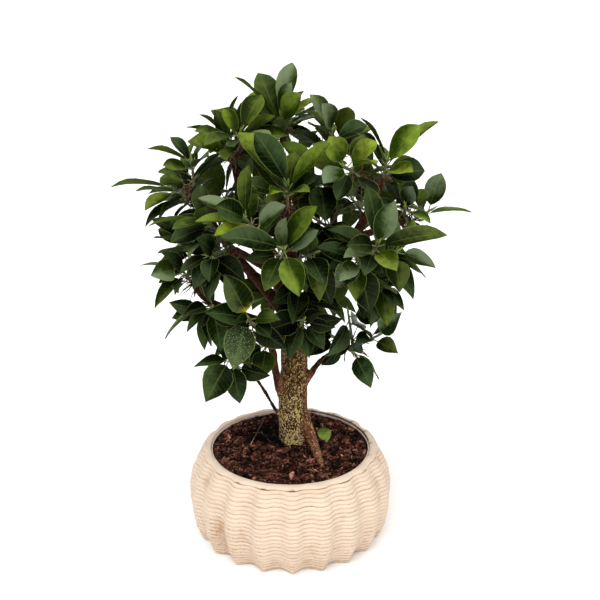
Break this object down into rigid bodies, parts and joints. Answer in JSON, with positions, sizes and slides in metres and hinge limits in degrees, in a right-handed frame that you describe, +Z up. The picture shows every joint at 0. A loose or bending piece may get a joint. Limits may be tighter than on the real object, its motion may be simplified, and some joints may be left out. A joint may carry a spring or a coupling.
{
  "type": "chinese banyan bonsai",
  "caption": "Small indoor Chinese banyan tree with a rounded leafy crown, mottled trunk and surface root, growing in bark soil in a round fluted cream cord-wound pot.",
  "frame": {"origin": "centre of the pot's underside, on the surface that the plant stands on", "axes": "+Z up along the trunk, -Y towards the front of the plant, where the surface root is, +X to the right"},
  "size_m": [0.324, 0.2642, 0.46],
  "materials": {
    "cord": "matt cream cord, wound in wavy rows",
    "liner": "thin satin plastic",
    "soil": "damp dark bark mulch",
    "bark": "brown bark with dense pale specks",
    "leaf": "glossy dark green leaf with a pale margin and midrib",
    "young_leaf": "satin fresh yellow-green leaf"
  },
  "bodies": {
    "root": {"fallen_leaf": "young_leaf", "liner": "liner", "pot": "cord", "soil": "soil", "spray_back_hang": "leaf", "spray_back_hang_right": "leaf", "spray_back_high_left": "leaf", "spray_back_high_right": "leaf", "spray_back_left_out": "leaf", "spray_back_low": "leaf", "spray_back_low_left": "leaf", "spray_back_low_right": "leaf", "spray_back_mid": "leaf", "spray_back_mid_left": "leaf", "spray_back_mid_right": "leaf", "spray_back_right_out": "leaf", "spray_back_top": "leaf", "spray_crown": "leaf", "spray_crown_front": "leaf", "spray_crown_left": "leaf", "spray_front_left": "leaf", "spray_front_low": "leaf", "spray_front_mid": "leaf", "spray_inner_far_left": "leaf", "spray_inner_high": "leaf", "spray_inner_high_left": "leaf", "spray_inner_left": "leaf", "spray_inner_low": "leaf", "spray_inner_low_left": "leaf", "spray_inner_low_right": "leaf", "spray_inner_mid": "leaf", "spray_inner_mid_left": "leaf", "spray_inner_right": "leaf", "spray_left_dark": "leaf", "spray_left_drop": "leaf", "spray_left_hang": "leaf", "spray_left_hang_in": "leaf", "spray_left_high": "leaf", "spray_left_low": "leaf", "spray_left_mid": "leaf", "spray_left_out": "leaf", "spray_left_reach": "leaf", "spray_left_side": "leaf", "spray_left_tip": "leaf", "spray_low_right": "leaf", "spray_low_right_in": "leaf", "spray_mid_hollow": "leaf", "spray_mid_right": "leaf", "spray_right_crown": "leaf", "spray_right_front": "leaf", "spray_right_hang": "leaf", "spray_right_high": "leaf", "spray_right_low": "leaf", "spray_right_mid": "leaf", "spray_right_tip": "leaf", "spray_right_under": "leaf", "spray_trunk_leaf": "leaf", "trunk": "bark"}
  },
  "joints": []
}
